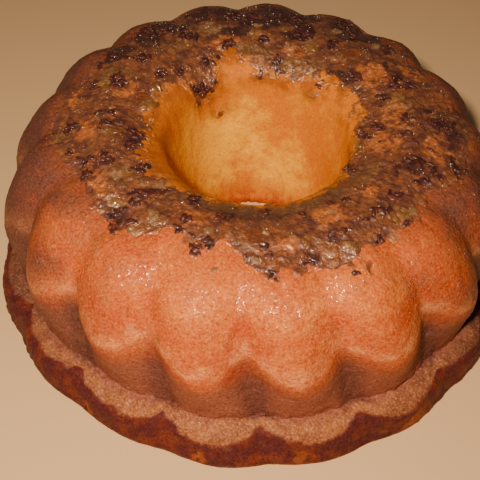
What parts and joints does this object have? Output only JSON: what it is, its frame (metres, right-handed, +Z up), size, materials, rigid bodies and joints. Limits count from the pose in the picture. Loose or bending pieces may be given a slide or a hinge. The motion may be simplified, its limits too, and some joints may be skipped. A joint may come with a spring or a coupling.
{
  "type": "bundt cake",
  "caption": "Ring-shaped baked cake with slanting fluted sides, a flared foot, a tapered hole through the middle and a chopped nut topping on its crest.",
  "frame": {"origin": "centre of the flat base, at the middle of the cake's outline, under the hole", "axes": "+Z up through the hole from the flat base to the crest; -Y is the side that faces the viewer, +X to the viewer's right"},
  "size_m": [0.2504, 0.2476, 0.0868],
  "materials": {
    "crust": "browned cake crust, slightly moist and finely pored",
    "nuts": "toasted chopped nuts under a sugar glaze",
    "glaze": "thin glossy caramel glaze"
  },
  "bodies": {
    "root": {"cake": "crust"}
  },
  "joints": []
}
